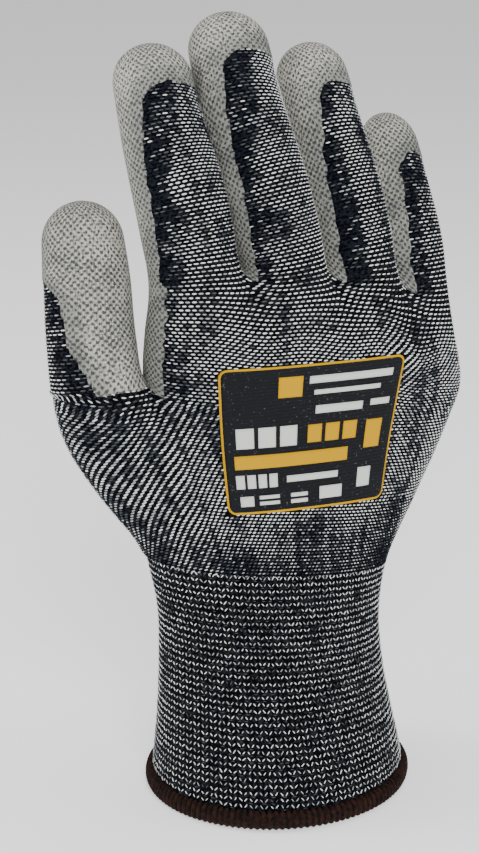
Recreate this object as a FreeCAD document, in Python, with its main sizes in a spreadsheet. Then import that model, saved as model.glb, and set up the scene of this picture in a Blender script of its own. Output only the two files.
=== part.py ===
"""Knitted cut resistant work glove, right hand, standing on its cuff hem.

Frame: origin at the middle of the cuff mouth, on the plane that the hem stands on.
+Z runs up the hand, the back of the hand faces -Y, the palm +Y, the thumb is at -X.
The liner is one thin knitted shell: a cuff tube, a hand shell that branches into four
finger stubs and a thumb stub, and stalls that are split where the fingers bend.
"""
import FreeCAD, Part
import Sketcher
import os

from FreeCAD import Placement, Rotation, Vector

X_AXIS = Vector(1, 0, 0)
Y_AXIS = Vector(0, 1, 0)
Z_AXIS = Vector(0, 0, 1)

# Sections of the cuff: height above the hem plane, full width, how much less deep than wide,
# and how far the middle is shifted to the side and towards the palm.
CUFF_SECTIONS = {
    "mouth": dict(up=1.6, width=92, flat=8, side=0, fore=0),
    "flare": dict(up=25, width=88, flat=14, side=-1, fore=0),
    "neck": dict(up=44, width=84, flat=22, side=-2, fore=1),
    "waist": dict(up=64, width=83.5, flat=30, side=-2.5, fore=2),
    "wrist": dict(up=83, width=91, flat=43, side=-2.5, fore=3),
}

# Sections of the hand, with their height above the wrist and the tilt of their plane.
HAND_SECTIONS = {
    "ball": dict(up=22, width=103, flat=59, side=3, fore=5, lean=2, pitch=6),
    "palm": dict(up=47, width=116, flat=76, side=10, fore=6.5, lean=5, pitch=8),
    "broad": dict(up=67, width=121, flat=82, side=14, fore=7, lean=7, pitch=9),
    "knuckle": dict(up=85, width=118, flat=80, side=14, fore=7, lean=8, pitch=10),
    "web": dict(up=95, width=113, flat=78, side=15, fore=7, lean=8, pitch=10),
}

# Sections of the thumb gusset, which grows out of the side of the hand.
GUSSET_SECTIONS = {
    "gusset_foot": dict(up=15, width=28, flat=4, side=-31, fore=7, lean=-34, pitch=8),
    "gusset_low": dict(up=29, width=37, flat=5, side=-45, fore=10, lean=-28, pitch=10),
    "gusset_high": dict(up=50, width=35, flat=3.5, side=-57, fore=12.5, lean=-16, pitch=10),
    "gusset_top": dict(up=68, width=31.5, flat=2.5, side=-62, fore=14, lean=-4, pitch=12),
}

# Each finger: where its axis leaves the web of the hand, as a place for the middle finger and
# as the gap to the neighbour for the others, how its phalanges lean to the side, their
# lengths, and the full width at the root, at both joints and where the tip rounds over.
FINGERS = {
    "index": dict(gap=3.25, fore=5, rise=3.6, lean=-5.6, tip_lean=2,
                  root_length=27, middle_length=25, tip_length=31,
                  root_width=30, middle_width=30, end_width=28, tip_width=25, flat=4),
    "middle": dict(side=4, fore=2, rise=5, lean=-8.5, tip_lean=2,
                   root_length=33, middle_length=28, tip_length=36,
                   root_width=29.5, middle_width=29, end_width=28.5, tip_width=27, flat=4),
    "ring": dict(gap=2.25, fore=5, rise=6.5, lean=-7, tip_lean=0,
                 root_length=29, middle_length=25, tip_length=33,
                 root_width=27, middle_width=27, end_width=26, tip_width=24.5, flat=3.8),
    "little": dict(gap=1.65, fore=10.5, rise=2.6, lean=-4, tip_lean=1.5,
                   root_length=21.5, middle_length=18, tip_length=27,
                   root_width=22.5, middle_width=22.5, end_width=21.5, tip_width=20, flat=3.2),
}

# The finger that each other finger is placed beside, and on which side of it.
NEIGHBOURS = {"index": ("middle", -1), "ring": ("middle", 1), "little": ("ring", 1)}

# Rest bend of the phalanges towards the palm, measured from upright.
FINGER_PITCH = {"root_pitch": 13, "middle_pitch": 24, "tip_pitch": 33}

THUMB = dict(lean=-1, pitch=12, tip_lean=1, tip_pitch=19, root_length=27, tip_length=36,
             root_width=30, end_width=29, tip_width=26, flat=2.4)

# Profile of the rolled hem: share of its height, and how many insets narrower it is there.
HEM_PROFILE = [(0, 1), (0.25, 0.25), (0.5, 0), (0.75, 0.25), (1, 1)]
HEM_HOLE_PROFILE = [(0, 0), (0.5, 1), (1, 0)]

# How nearly along Y the direction of a plate's corner edge is.
UPRIGHT = 0.99

# Knit, film and trim.
DETAILS = dict(
    knit_wall=1.2, coat=0.7, coat_turn=28, coat_offset=1.5, tip_dip=13,
    palm_coat_start=3, palm_coat_offset=2,
    stub_depth=6, fold_gap=0.5, root_fold=12, middle_fold=13, end_fold=11, little_fold=10,
    dome_length=11.5,
    hem_height=6.4, hem_width=98, hem_inset=2, hem_flat=8, hem_inner=5,
    elastic_thick=0.8, elastic_rings=12, elastic_first=9, elastic_pitch=6,
    label_top_width=70, label_bottom_width=58, label_height=49, label_skew=2.7,
    label_side=-25.5, label_up=27, label_turn=1.8, label_corner=5, label_edge=1,
    label_film=0.3, ink=0.25,
)

doc = FreeCAD.newDocument("CutResistantGlove")
sheet = doc.addObject("Spreadsheet::Sheet", "Sizes")


def fill_sheet():
    """Write every driving dimension to the sheet, one named cell each."""
    groups = [("", DETAILS), ("finger_", FINGER_PITCH), ("thumb_", THUMB)]
    for table in (CUFF_SECTIONS, HAND_SECTIONS, GUSSET_SECTIONS, FINGERS):
        groups += [(name + "_", values) for name, values in table.items()]
    row = 1
    for prefix, values in groups:
        for key, value in values.items():
            sheet.set(f"A{row}", prefix + key)
            sheet.set(f"B{row}", str(value))
            sheet.setAlias(f"B{row}", prefix + key)
            row += 1
    doc.recompute()
    print("sheet cells", row - 1)


fill_sheet()


def size(name):
    """Number in the cell with this name."""
    return float(getattr(sheet, name))


def frame(point, lean, pitch):
    """Placement whose Z runs up a limb that leans to the side and bends to the palm."""
    turn = Rotation(Y_AXIS, lean).multiply(Rotation(X_AXIS, -pitch))
    return Placement(point, turn)


def ellipse(name, width, flat, place, grow="0"):
    """Elliptical section: width and flat are sheet expressions, grow widens it all round."""
    ring = doc.addObject("Part::Ellipse", name)
    ring.setExpression("MajorRadius", f"({width}) / 2 + {grow}")
    ring.setExpression("MinorRadius", f"({width} - ({flat})) / 2 + {grow}")
    ring.Placement = place
    return ring


def loft(name, rings):
    """Smooth solid through a row of sections."""
    solid = doc.addObject("Part::Loft", name)
    solid.Sections = rings
    solid.Solid = True
    solid.Ruled = False
    return solid


def cut(name, base, tool):
    """What is left of base where tool is taken away."""
    piece = doc.addObject("Part::Cut", name)
    piece.Base = base
    piece.Tool = tool
    return piece


def common(name, base, tool):
    """The stretch of base that lies inside tool."""
    piece = doc.addObject("Part::Common", name)
    piece.Base = base
    piece.Tool = tool
    return piece


def fuse(name, shapes):
    """One solid of several that overlap."""
    piece = doc.addObject("Part::MultiFuse", name)
    piece.Shapes = shapes
    return piece


def block(name, lengths, place):
    """Box of the given sheet expressions or numbers, centred on its placement's X and Y."""
    box = doc.addObject("Part::Box", name)
    for key, value in zip(("Length", "Width", "Height"), lengths):
        box.setExpression(key, str(value))
    doc.recompute()
    shift = Vector(-box.Length.Value / 2, -box.Width.Value / 2, 0)
    box.Placement = place.multiply(Placement(shift, Rotation()))
    return box


PIECES = []


def finish(piece, label):
    """Name a finished sub-part and keep it for the export."""
    piece.Label = label
    PIECES.append(piece)
    return piece


WALL = "-Sizes.knit_wall"
FILM = "Sizes.coat"


def station(name, base):
    """Placement of a cuff, hand or gusset section; heights count from base."""
    lean = size(name + "_lean") if name not in CUFF_SECTIONS else 0
    pitch = size(name + "_pitch") if name not in CUFF_SECTIONS else 0
    point = Vector(size(name + "_side"), size(name + "_fore"), base + size(name + "_up"))
    return frame(point, lean, pitch)


def stack(label, names, base, grow="0", first=None, sink=0):
    """Loft through named sections, all widened by grow; the last one is lowered by sink."""
    rings = [first] if first else []
    for name in names:
        place = station(name, base)
        if name == "web":
            place = place.multiply(Placement(Vector(0, 0, -sink), Rotation()))
        rings.append(ellipse(f"{label}_{name}", f"Sizes.{name}_width", f"Sizes.{name}_flat",
                             place, grow))
    return loft(label, rings)


def wrist_ring(label, grow):
    """The section that cuff and hand share."""
    return ellipse(label, "Sizes.wrist_width", "Sizes.wrist_flat", station("wrist", 0), grow)


# ---------------------------------------------------------------- cuff
def make_cuff():
    """Cuff tube, its overlocked hem and the elastic threads laid in its inner face."""
    outer = stack("cuff_outer", CUFF_SECTIONS, 0)
    inner = stack("cuff_inner", CUFF_SECTIONS, 0, WALL)
    cuff = finish(cut("CuffRib", outer, inner), "cuff_rib")

    hem_rings = []
    for number, (share, inset) in enumerate(HEM_PROFILE):
        place = Placement(Vector(0, 0, share * size("hem_height")), Rotation())
        width = f"Sizes.hem_width - {2 * inset} * Sizes.hem_inset"
        hem_rings.append(ellipse(f"hem_ring_{number}", width, "Sizes.hem_flat", place))
    hem_outer = loft("hem_outer", hem_rings)
    opening = []
    for number, (share, inset) in enumerate(HEM_HOLE_PROFILE):
        place = Placement(Vector(0, 0, share * size("hem_height")), Rotation())
        width = f"Sizes.mouth_width - 2 * Sizes.hem_inner - {inset} * Sizes.hem_inset"
        opening.append(ellipse(f"hem_hole_{number}", width, "Sizes.hem_flat", place))
    hem_ring = cut("hem_ring", hem_outer, loft("hem_hole", opening))
    finish(cut("CuffHem", hem_ring, cuff), "cuff_hem")
    make_elastic(inner)


def make_elastic(inner):
    """Thin flat rings of elastic thread, held by the inner face of the cuff."""
    core = stack("elastic_core", CUFF_SECTIONS, 0, f"{WALL} - Sizes.elastic_thick")
    sleeve = cut("elastic_sleeve", inner, core)
    slices = []
    for number in range(int(size("elastic_rings"))):
        height = size("elastic_first") + number * size("elastic_pitch")
        place = Placement(Vector(0, 0, height), Rotation())
        span = "1.5 * Sizes.hem_width"
        slices.append(block(f"elastic_slice_{number}", (span, span, "Sizes.elastic_thick"), place))
    bands = doc.addObject("Part::Compound", "elastic_slices")
    bands.Links = slices
    finish(common("CuffElastic", sleeve, bands), "cuff_elastic")


# ---------------------------------------------------------------- limbs
class Limb:
    """A finger or the thumb: its root, phalanges and joints."""

    def __init__(self, name, root, segments, folds):
        self.name = name
        self.segments = segments
        self.folds = folds
        self.points = [root]
        for part in segments:
            place = frame(self.points[-1], part["lean"], part["pitch"])
            self.points.append(place.multVec(Vector(0, 0, part["length"])))

    def at(self, number, along):
        """Placement at a distance along one phalanx."""
        part = self.segments[number]
        place = frame(self.points[number], part["lean"], part["pitch"])
        return place.multiply(Placement(Vector(0, 0, along), Rotation()))

    def width(self, number, along):
        """Sheet expression for the full width at a distance along one phalanx."""
        part = self.segments[number]
        share = along / part["length"]
        return (f"Sizes.{part['from']} + {share:.6f} * "
                f"(Sizes.{part['to']} - Sizes.{part['from']})")


def finger_side(name):
    """Sideways place of a finger's root, a gap away from its neighbour's."""
    if name not in NEIGHBOURS:
        return size(name + "_side")
    beside, way = NEIGHBOURS[name]
    reach = (size(name + "_root_width") + size(beside + "_root_width")) / 2
    return finger_side(beside) + way * (reach + size(name + "_gap"))


def finger_root(name):
    """Where a finger's axis leaves the web of the hand."""
    web = station("web", size("wrist_up"))
    normal = web.Rotation.multVec(Z_AXIS)
    point = Vector(finger_side(name), size(name + "_fore"), web.Base.z)
    drop = (point - web.Base).dot(normal) / normal.z
    point.z += size(name + "_rise") - drop
    return point


def make_finger_limb(name):
    """Three phalanges, with the joints at the web, the middle and near the tip."""
    lean = size(name + "_lean")
    keys = (("root", "root_width", "middle_width", lean),
            ("middle", "middle_width", "end_width", lean),
            ("tip", "end_width", "tip_width", size(name + "_tip_lean")))
    segments = []
    for key, start, end, side_lean in keys:
        segments.append({
            "key": key, "length": size(f"{name}_{key}_length"), "lean": side_lean,
            "pitch": size(f"finger_{key}_pitch"),
            "from": f"{name}_{start}", "to": f"{name}_{end}"})
    if name == "little":
        folds = [size("little_fold")] * 3
    else:
        folds = [size("root_fold"), size("middle_fold"), size("end_fold")]
    return Limb(name, finger_root(name), segments, folds)


def make_thumb_limb():
    """Two phalanges above the gusset."""
    root = station("gusset_top", size("wrist_up")).Base
    segments = [
        {"key": "root", "length": size("thumb_root_length"), "lean": size("thumb_lean"),
         "pitch": size("thumb_pitch"), "from": "thumb_root_width", "to": "thumb_end_width"},
        {"key": "tip", "length": size("thumb_tip_length"), "lean": size("thumb_tip_lean"),
         "pitch": size("thumb_tip_pitch"), "from": "thumb_end_width", "to": "thumb_tip_width"}]
    return Limb("thumb", root, segments, [size("root_fold"), size("end_fold")])


def limb_ring(limb, number, along, label, grow):
    """Section of a limb at a distance along one phalanx."""
    return ellipse(label, limb.width(number, along), f"Sizes.{limb.name}_flat",
                   limb.at(number, along), grow)


def tube(limb, number, start, end, label, grow):
    """Tapered solid along one phalanx."""
    first = limb_ring(limb, number, start, f"{label}_a", grow)
    last = limb_ring(limb, number, end, f"{label}_b", grow)
    return loft(label, [first, last])


def tip_solid(limb, start, label, grow):
    """Last phalanx: a tapered tube closed by half an ellipsoid."""
    number = len(limb.segments) - 1
    straight = limb.segments[number]["length"] - size("dome_length")
    shaft = tube(limb, number, start, straight, f"{label}_shaft", grow)
    dome = doc.addObject("Part::Ellipsoid", f"{label}_dome")
    width = f"Sizes.{limb.name}_tip_width"
    dome.setExpression("Radius1", f"Sizes.dome_length + {grow}")
    dome.setExpression("Radius2", f"{width} / 2 + {grow}")
    dome.setExpression("Radius3", f"({width} - Sizes.{limb.name}_flat) / 2 + {grow}")
    dome.Angle1 = 0
    dome.Placement = limb.at(number, straight)
    return fuse(label, [shaft, dome])


def fold_range(limb, number):
    """Where the flexing knit before phalanx number starts and ends, around its joint."""
    half = limb.folds[number] / 2
    if number == 0:
        return size("fold_gap"), size("fold_gap") + 2 * half
    return -half, half


def hinge(limb, number):
    """Joint point and axis: near the palm side, across the phalanx that it turns."""
    start, end = fold_range(limb, number)
    along = (start + end) / 2
    place = limb.at(number, along)
    part = limb.segments[number]
    depth = size(part["from"]) - size(limb.name + "_flat")
    point = place.multVec(Vector(0, depth / 4, 0))
    axis = place.Rotation.multVec(Vector(-1, 0, 0))
    return point, axis


def coat_mask(limb, number, start, end, label):
    """Block that takes in the palm side of a phalanx and turns towards the thumb."""
    wide = 2 * size(f"{limb.name}_root_width")
    turn = Rotation(Z_AXIS, size("coat_turn"))
    place = limb.at(number, start).multiply(Placement(Vector(), turn))
    shift = Vector(0, wide / 2 - size("coat_offset"), 0)
    side = place.multiply(Placement(shift, Rotation()))
    mask = block(f"{label}_side", (wide, wide, end - start), side)
    if end < limb.segments[number]["length"]:
        return mask
    top = limb.at(number, end - size("tip_dip"))
    cap = block(f"{label}_cap", (wide, wide, "Sizes.tip_dip"), top)
    return fuse(label, [mask, cap])


def make_phalanx(limb, number):
    """Knitted stall of one phalanx and the coating on its palm side."""
    part = limb.segments[number]
    last = number == len(limb.segments) - 1
    start = fold_range(limb, number)[1]
    name = f"{limb.name}_{part['key']}"
    if last:
        end = part["length"]
        outer = tip_solid(limb, start, f"{name}_outer", "0")
        inner = tip_solid(limb, start, f"{name}_inner", WALL)
        coated = tip_solid(limb, start, f"{name}_coated", FILM)
    else:
        end = part["length"] + fold_range(limb, number + 1)[0]
        outer = tube(limb, number, start, end, f"{name}_outer", "0")
        inner = tube(limb, number, start, end, f"{name}_inner", WALL)
        coated = tube(limb, number, start, end, f"{name}_coated", FILM)
    finish(cut(f"{name}_Liner", outer, inner), f"{name}_liner")
    film = cut(f"{name}_film", coated, outer)
    top = end + (2 * size("coat") if last else 0)
    mask = coat_mask(limb, number, start, top, f"{name}_mask")
    finish(common(f"{name}_Coating", film, mask), f"{name}_coating")


def make_fold(limb, number):
    """Flexing knit between two phalanges, or between the hand and a limb."""
    start, end = fold_range(limb, number)
    name = f"{limb.name}_{limb.segments[number]['key']}_fold"
    walls = []
    for side, grow in (("outer", "0"), ("inner", WALL)):
        label = f"{name}_{side}"
        if number == 0:
            rings = [limb_ring(limb, 0, start, f"{label}_a", grow)]
        else:
            before = limb.segments[number - 1]["length"]
            rings = [limb_ring(limb, number - 1, before + start, f"{label}_a", grow)]
        rings.append(limb_ring(limb, number, end, f"{label}_c", grow))
        walls.append(loft(label, rings))
    finish(cut(f"{name}_Knit", walls[0], walls[1]), name)


# ---------------------------------------------------------------- hand
def stub(limb, label, grow, overrun):
    """Start of a finger, from inside the hand to its root fold."""
    inside = overrun - size(f"{limb.name}_rise") - size("stub_depth")
    return tube(limb, 0, inside, size("fold_gap") + overrun, label, grow)


def hand_solid(label, limbs, grow, overrun):
    """Whole hand as one solid: palm, four stubs and the thumb gusset."""
    base = size("wrist_up")
    low = wrist_ring(f"{label}_wrist", grow)
    palm = stack(f"{label}_palm", HAND_SECTIONS, base, grow, low, overrun)
    gusset = gusset_solid(f"{label}_gusset", grow, overrun)
    stubs = [stub(limb, f"{label}_{limb.name}", grow, overrun) for limb in limbs]
    return fuse(label, [palm, gusset] + stubs)


def gusset_solid(label, grow, overrun):
    """Thumb gusset up to the thumb's root fold."""
    base = size("wrist_up")
    rings = []
    for name in GUSSET_SECTIONS:
        place = station(name, base)
        if name == "gusset_top":
            rise = Vector(0, 0, size("fold_gap") + overrun)
            place = frame(place.Base, size("thumb_lean"), size("thumb_pitch"))
            place = place.multiply(Placement(rise, Rotation()))
            rings.append(ellipse(f"{label}_{name}", "Sizes.thumb_root_width",
                                 "Sizes.thumb_flat", place, grow))
        else:
            lift = overrun if name == "gusset_foot" else 0
            place = place.multiply(Placement(Vector(0, 0, lift), Rotation()))
            rings.append(ellipse(f"{label}_{name}", f"Sizes.{name}_width",
                                 f"Sizes.{name}_flat", place, grow))
    return loft(label, rings)


def make_hand(limbs):
    """Knitted hand shell, its palm coating and the printed label on the back."""
    wall = size("knit_wall")
    outer = hand_solid("hand_outer", limbs, "0", 0)
    inner = hand_solid("hand_inner", limbs, WALL, wall)
    finish(cut("HandShell", outer, inner), "hand_shell")
    make_palm_coating(limbs)
    make_label()


def make_palm_coating(limbs):
    """Dipped film over the palm and the heel of the hand, up to the gusset and the stubs."""
    layer = back_layer("palm_film", "0", FILM)
    wide = 2 * size("broad_width")
    deep = size("broad_width")
    low = size("wrist_up") + size("palm_coat_start")
    middle = size("palm_fore") + size("palm_coat_offset")
    place = Placement(Vector(size("palm_side"), middle + deep / 2, low), Rotation())
    mask = block("palm_film_mask", (wide, deep, 2 * deep), place)
    palm_side = common("palm_film_side", layer, mask)
    growing = [stub(limb, f"palm_film_{limb.name}", "0", 0) for limb in limbs]
    growing.append(gusset_solid("palm_film_gusset", "0", 0))
    limbs_out = fuse("palm_film_limbs", growing)
    finish(cut("PalmCoating", palm_side, limbs_out), "palm_coating")


# ---------------------------------------------------------------- label
# Printed marks, each (side, height, width, height of the mark) from the label's lower left
# corner: plain bars and blocks that carry no words.
WHITE_MARKS = [(31, 41, 32, 3.4), (33, 36.5, 25, 2), (38, 30, 20, 3.6), (6, 21, 24, 6.4),
               (4, 8, 15, 4.2), (23, 9.4, 20, 2.4), (5, 2.6, 12, 3.4), (21, 2.6, 8, 3.4)]
YELLOW_MARKS = [(20, 36.5, 8.5, 8), (4, 14.4, 44, 4.4), (52, 18, 6.5, 10.5)]


def outline_plate(name, margin):
    """Tapered plate in the XZ plane, as far inside the label's edge as margin says."""
    body = doc.addObject("PartDesign::Body", name)
    sketch = body.newObject("Sketcher::SketchObject", name + "_outline")
    plane = [item for item in body.Origin.OriginFeatures if item.Role == "XZ_Plane"][0]
    sketch.AttachmentSupport = [(plane, "")]
    sketch.MapMode = "FlatFace"
    high = size("label_height")
    slant = size("label_skew")
    corners = [(0, 0), (size("label_bottom_width"), 0),
               (size("label_top_width") - slant, high), (-slant, high)]
    points = [Vector(x, y, 0) for x, y in corners]
    for number in range(4):
        sketch.addGeometry(Part.LineSegment(points[number], points[(number + 1) % 4]))
    for number in range(4):
        follower = (number + 1) % 4
        sketch.addConstraint(Sketcher.Constraint("Coincident", number, 2, follower, 1))
    sketch.addConstraint(Sketcher.Constraint("Horizontal", 0))
    sketch.addConstraint(Sketcher.Constraint("Horizontal", 2))
    limits = (("DistanceX", 0, 1, f"{margin}"),
              ("DistanceY", 0, 1, f"{margin}"),
              ("DistanceX", 0, 2, f"Sizes.label_bottom_width - {margin}"),
              ("DistanceX", 1, 2, f"Sizes.label_top_width - Sizes.label_skew - {margin}"),
              ("DistanceY", 1, 2, f"Sizes.label_height - {margin}"),
              ("DistanceX", 3, 1, f"{margin} - Sizes.label_skew"))
    for kind, line, end, value in limits:
        point = sketch.Geometry[line].StartPoint if end == 1 else sketch.Geometry[line].EndPoint
        start = point.x if kind == "DistanceX" else point.y
        index = sketch.addConstraint(Sketcher.Constraint(kind, -1, 1, line, end, start))
        sketch.setExpression(f"Constraints[{index}]", value)
    pad = body.newObject("PartDesign::Pad", name + "_pad")
    pad.Profile = sketch
    pad.setExpression("Length", "Sizes.palm_width")
    doc.recompute()
    upright = [f"Edge{number + 1}" for number, edge in enumerate(pad.Shape.Edges)
               if abs(edge.tangentAt(edge.FirstParameter).y) > UPRIGHT]
    fillet = body.newObject("PartDesign::Fillet", name + "_corners")
    fillet.Base = (pad, upright)
    fillet.setExpression("Radius", f"Sizes.label_corner - {margin}")
    body.Tip = fillet
    body.Placement = label_place(0, 0)
    return body


def label_place(side, up):
    """Placement of a point on the label, counted from its lower left corner."""
    base = Vector(size("label_side"), size("palm_fore"), size("wrist_up") + size("label_up"))
    corner = Placement(base, Rotation(Y_AXIS, size("label_turn")))
    return corner.multiply(Placement(Vector(side, 0, up), Rotation()))


def back_layer(label, inner_grow, outer_grow):
    """Layer over the hand, without its gusset, between two distances from the knit."""
    base = size("wrist_up")
    solids = []
    for side, grow in (("inner", inner_grow), ("outer", outer_grow)):
        low = wrist_ring(f"{label}_{side}_wrist", grow)
        solids.append(stack(f"{label}_{side}", HAND_SECTIONS, base, grow, low))
    return cut(f"{label}_layer", solids[1], solids[0])


def mark_blocks(name, marks):
    """Prisms over the printed marks of one colour."""
    blocks = []
    for number, (side, up, wide, high) in enumerate(marks):
        place = label_place(side + wide / 2, up)
        deep = size("palm_width")
        place = place.multiply(Placement(Vector(0, -deep / 2, 0), Rotation()))
        blocks.append(block(f"{name}_{number}", (wide, deep, high), place))
    group = doc.addObject("Part::Compound", name)
    group.Links = blocks
    return group


def make_label():
    """Transfer print on the back: dark film, its edge line and two inks on top."""
    film = back_layer("label_film", "0", "Sizes.label_film")
    inks = back_layer("label_ink", "Sizes.label_film", "Sizes.label_film + Sizes.ink")
    inside = outline_plate("LabelInside", "Sizes.label_edge")
    whole = outline_plate("LabelWhole", "0")
    finish(common("LabelFilm", film, inside), "label_film_dark")
    rim = cut("label_rim", whole, inside)
    finish(common("LabelEdge", film, rim), "label_edge_line")
    for ink, marks in (("white", WHITE_MARKS), ("yellow", YELLOW_MARKS)):
        prisms = mark_blocks(f"label_{ink}_prisms", marks)
        finish(common(f"Label_{ink}", inks, prisms), f"label_ink_{ink}")


# ---------------------------------------------------------------- build
def check_document():
    """Stop when any object failed or any piece is not a sound solid."""
    doc.recompute()
    for item in doc.Objects:
        if "Invalid" in item.State or "Error" in item.State:
            raise RuntimeError(f"{item.Label} failed: {item.State}")
    for piece in PIECES:
        if piece.Shape.isNull() or not piece.Shape.isValid() or not piece.Shape.Solids:
            raise RuntimeError(f"{piece.Label} has no valid solid")


def write_pieces():
    """One STEP file per piece."""
    os.makedirs("parts", exist_ok=True)
    for piece in PIECES:
        piece.Shape.exportStep(f"parts/{piece.Label}.step")
        box = piece.Shape.BoundBox
        print(f"{piece.Label}: {piece.Shape.Volume:.0f} mm3, {len(piece.Shape.Solids)} solids, "
              f"z {box.ZMin:.1f} to {box.ZMax:.1f}")


def main():
    """Make the pieces in the order that they are knitted, hemmed, dipped and printed."""
    fingers = [make_finger_limb(name) for name in FINGERS]
    thumb = make_thumb_limb()
    make_cuff()
    make_hand(fingers)
    for limb in fingers + [thumb]:
        for number in range(len(limb.segments)):
            make_fold(limb, number)
            make_phalanx(limb, number)
    check_document()
    write_pieces()
    for limb in fingers + [thumb]:
        for number, part in enumerate(limb.segments):
            point, axis = hinge(limb, number)
            print(f"joint {limb.name}_{part['key']}: at {point.x:.2f} {point.y:.2f} "
                  f"{point.z:.2f}, axis {axis.x:.4f} {axis.y:.4f} {axis.z:.4f}")


main()
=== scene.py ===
# %% [markdown]
# A knitted cut resistant glove is one seamless tube of yarn that splits into five stalls. Its back
# shows the knit, its palm and fingertips are dipped in a thin grey film, and a dark printed label
# sits on the back. The imported model gives the bodies that the fingers turn on; this lesson covers
# them with knit, film, hem and print.


# %% Frame and units
import math
from functools import partial

import bpy
import numpy as np
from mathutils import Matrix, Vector, noise
from mathutils.bvhtree import BVHTree


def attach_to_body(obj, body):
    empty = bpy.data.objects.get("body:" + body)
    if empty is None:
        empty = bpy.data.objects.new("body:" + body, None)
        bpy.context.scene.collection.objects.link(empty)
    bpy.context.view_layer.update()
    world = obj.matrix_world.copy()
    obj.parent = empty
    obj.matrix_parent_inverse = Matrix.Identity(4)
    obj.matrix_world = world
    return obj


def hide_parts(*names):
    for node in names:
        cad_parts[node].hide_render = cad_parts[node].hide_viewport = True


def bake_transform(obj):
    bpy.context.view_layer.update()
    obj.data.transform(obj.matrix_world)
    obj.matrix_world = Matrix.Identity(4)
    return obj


MM = 0.001
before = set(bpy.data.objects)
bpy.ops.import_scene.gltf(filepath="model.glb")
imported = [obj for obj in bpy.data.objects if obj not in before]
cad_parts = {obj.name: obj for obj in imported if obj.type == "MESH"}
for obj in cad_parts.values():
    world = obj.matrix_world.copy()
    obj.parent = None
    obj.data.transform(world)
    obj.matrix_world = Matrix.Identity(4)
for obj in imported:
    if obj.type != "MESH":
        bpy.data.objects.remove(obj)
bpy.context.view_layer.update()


def add_object(name, data):
    made = bpy.data.objects.new(name, data)
    bpy.context.scene.collection.objects.link(made)
    return made


def evaluated_mesh(made):
    """The object's mesh with its modifiers carried out."""
    graph = bpy.context.evaluated_depsgraph_get()
    return bpy.data.meshes.new_from_object(made.evaluated_get(graph))


# %% [markdown]
# Every tapered shape below comes from a short table of stations. Two helpers read such a table
# smoothly, the way a tailor's curve runs through marks, and a third eases one value into another.


# %% Table helpers
def ease(t):
    t = np.clip(t, 0.0, 1.0)
    return t * t * (3 - 2 * t)


def ramp(value, low, high):
    return ease((np.asarray(value, float) - low) / (high - low))


def read_smooth(keys, rows, at):
    """Cubic curve through the rows of a table, with the slopes of its neighbours."""
    keys, rows, at = np.asarray(keys, float), np.asarray(rows, float), np.atleast_1d(at)
    slopes = np.gradient(rows, keys, axis=0)
    cell = np.clip(np.searchsorted(keys, at, side="right") - 1, 0, len(keys) - 2)
    width = keys[cell + 1] - keys[cell]
    t = ((at - keys[cell]) / width)[:, None]
    width = width[:, None]
    return ((2 * t**3 - 3 * t**2 + 1) * rows[cell] + (t**3 - 2 * t**2 + t) * width * slopes[cell]
            + (3 * t**2 - 2 * t**3) * rows[cell + 1] + (t**3 - t**2) * width * slopes[cell + 1])


def unit(v):
    return v / np.maximum(np.linalg.norm(v, axis=-1, keepdims=True), 1e-9)


print("halfway ease:", float(ease(0.5)))

# %% [markdown]
# A finger stall is a bent, slightly flat tube with a round end. It is kept as a centre line with a
# width and a depth at each millimetre, so that any point of its skin is found from the distance
# along it and the turn around it. The turn is 0 on the back and 90 degrees on the thumb side.


# %% Limbs
DOME = 12.5
LIMB_STEP = 0.5
BEND_REACH = 9


class Limb:
    def __init__(self, along, centre, halves):
        self.along = along
        self.length = along[-1]
        ahead = unit(np.gradient(centre, along, axis=0))
        side = unit(np.stack([ahead[:, 2], 0 * along, -ahead[:, 0]], axis=1))
        inward = np.cross(ahead, side)
        into_dome = np.clip((along - self.length + DOME) / DOME, 0, 1)
        halves = halves * np.sqrt(1 - into_dome**2)[:, None]
        self.table = np.hstack([centre, side, inward, halves, ahead])

    def at(self, along):
        along = np.atleast_1d(np.asarray(along, float))
        return np.stack([np.interp(along, self.along, col) for col in self.table.T], axis=1)

    def skin(self, along, turn):
        row = self.at(along)
        turn = np.radians(np.atleast_1d(np.asarray(turn, float)))[:, None]
        return (row[:, 0:3] - row[:, 6:9] * row[:, 10:11] * np.cos(turn)
                - row[:, 3:6] * row[:, 9:10] * np.sin(turn))


PITCHES = (13, 24, 33)
FINGERS = {
    "index": dict(base=(-29, 5, 187.8), leans=(-5.6, -5.6, 2), parts=(27, 25, 31),
                  widths=(31, 31.5, 29, 26), wales=16, border=(69, 55, 36)),
    "middle": dict(base=(4, 2, 184.5), leans=(-8.5, -8.5, 2), parts=(33, 28, 36),
                   widths=(30.5, 30, 29, 27.3), wales=15, border=(59, 50, 33)),
    "ring": dict(base=(34.5, 5, 181.8), leans=(-7, -7, 0), parts=(29, 25, 33),
                 widths=(28, 27.5, 26.4, 24.7), wales=14, border=(50, 38, 12)),
    "little": dict(base=(60.9, 10.5, 174.2), leans=(-4, -4, 1.5), parts=(21.5, 18, 27),
                   widths=(23.5, 23, 22, 20.3), wales=11, border=(40, 20, 5)),
}
DEPTH_SHARE = 0.86
THUMB = [(-28, 8, 86, 16, 14), (-44, 11, 112, 20, 17), (-57, 13, 133, 18, 16),
         (-62, 14, 150, 16, 15), (-63, 18, 170, 15.2, 14), (-62, 23, 188, 14.7, 13.5),
         (-61.5, 27, 201, 13.7, 12.8), (-61, 31, 213, 12.8, 12)]


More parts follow.
